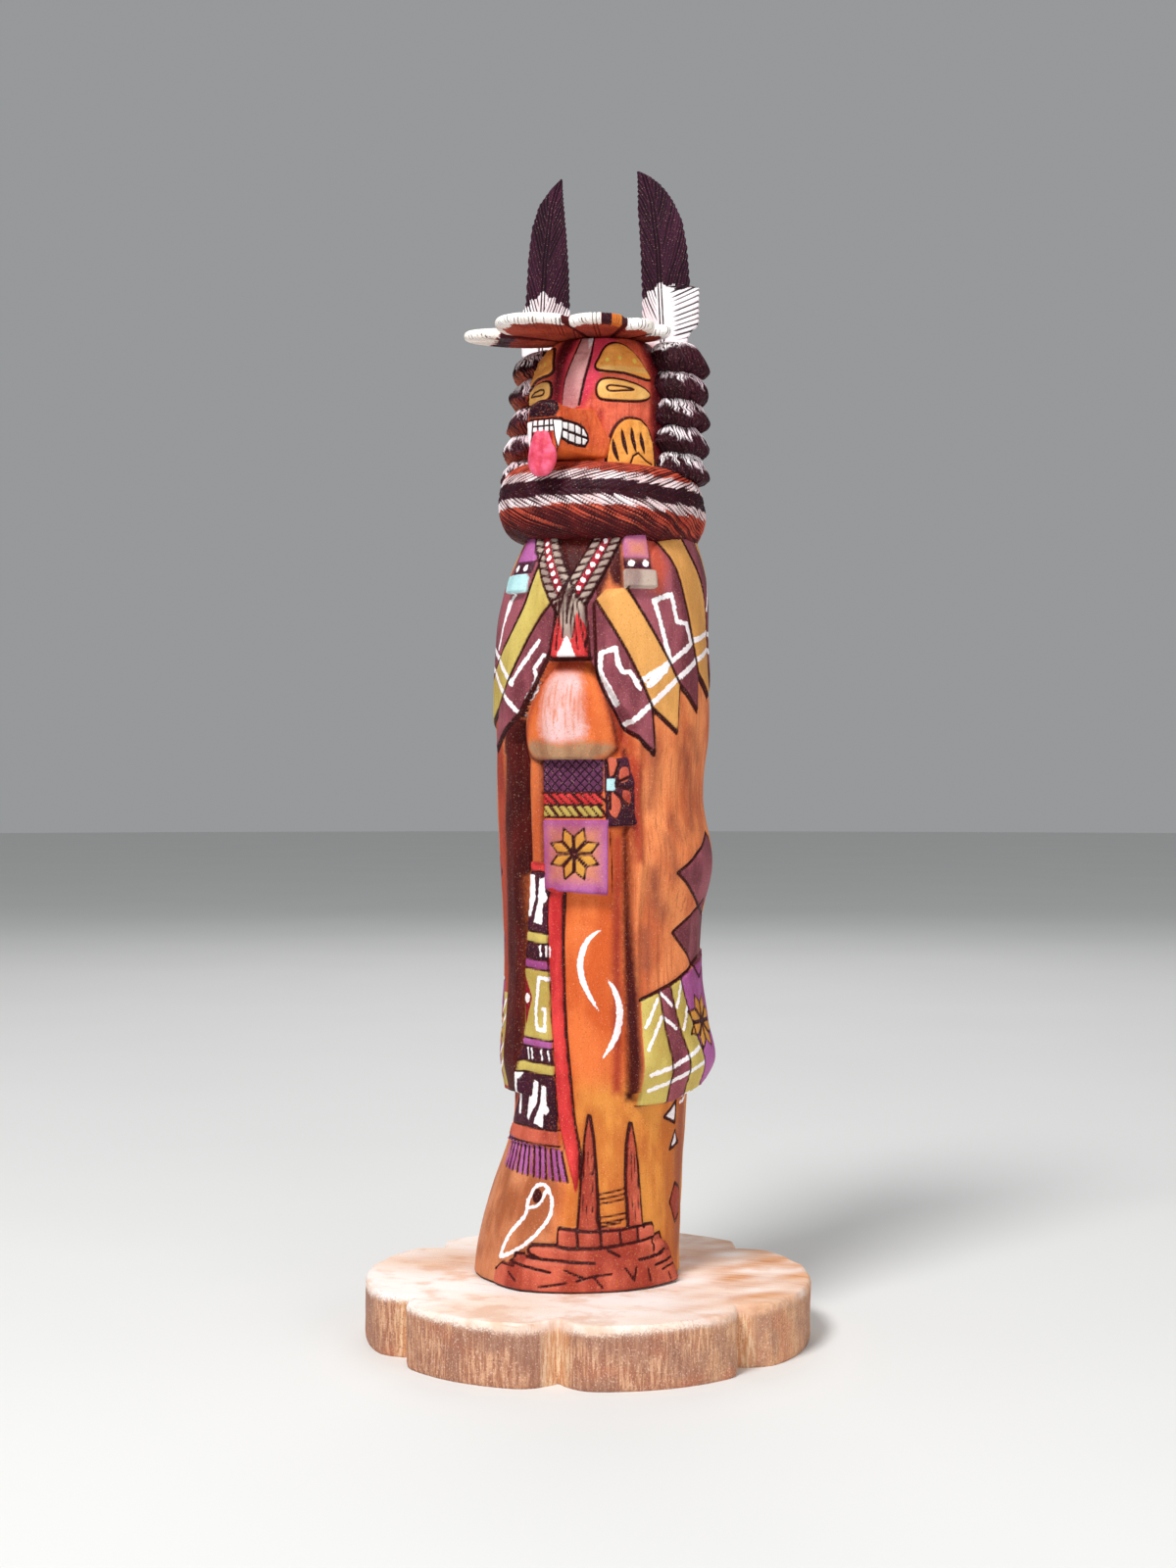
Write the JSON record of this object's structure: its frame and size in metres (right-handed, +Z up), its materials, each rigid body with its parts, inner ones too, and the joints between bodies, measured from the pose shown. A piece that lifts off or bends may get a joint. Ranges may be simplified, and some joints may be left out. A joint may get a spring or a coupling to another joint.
{
  "type": "kachina doll",
  "caption": "Painted carved-root figure in a feathered cape and long robe, with a masked head, fur ruff and upright feathers, standing on a scalloped wooden base.",
  "frame": {"origin": "middle of the base's underside, on the surface it stands on", "axes": "+Z up, the doll's front towards -Y, its own left side towards +X"},
  "size_m": [0.1142, 0.1136, 0.3],
  "materials": {
    "base_wood": "bare sawn and sanded pale wood, unvarnished",
    "painted_root": "stained root wood with burnt outlines and matt painted patterns",
    "painted_fan": "matt painted wood, white edges with dark and orange bands",
    "painted_feather": "matt dark painted wood with a white root and cut barbs"
  },
  "bodies": {
    "root": {"base": "base_wood", "figure": "painted_root", "feather_fan": "painted_fan", "feather_right": "painted_feather", "feather_left": "painted_feather"}
  },
  "joints": []
}
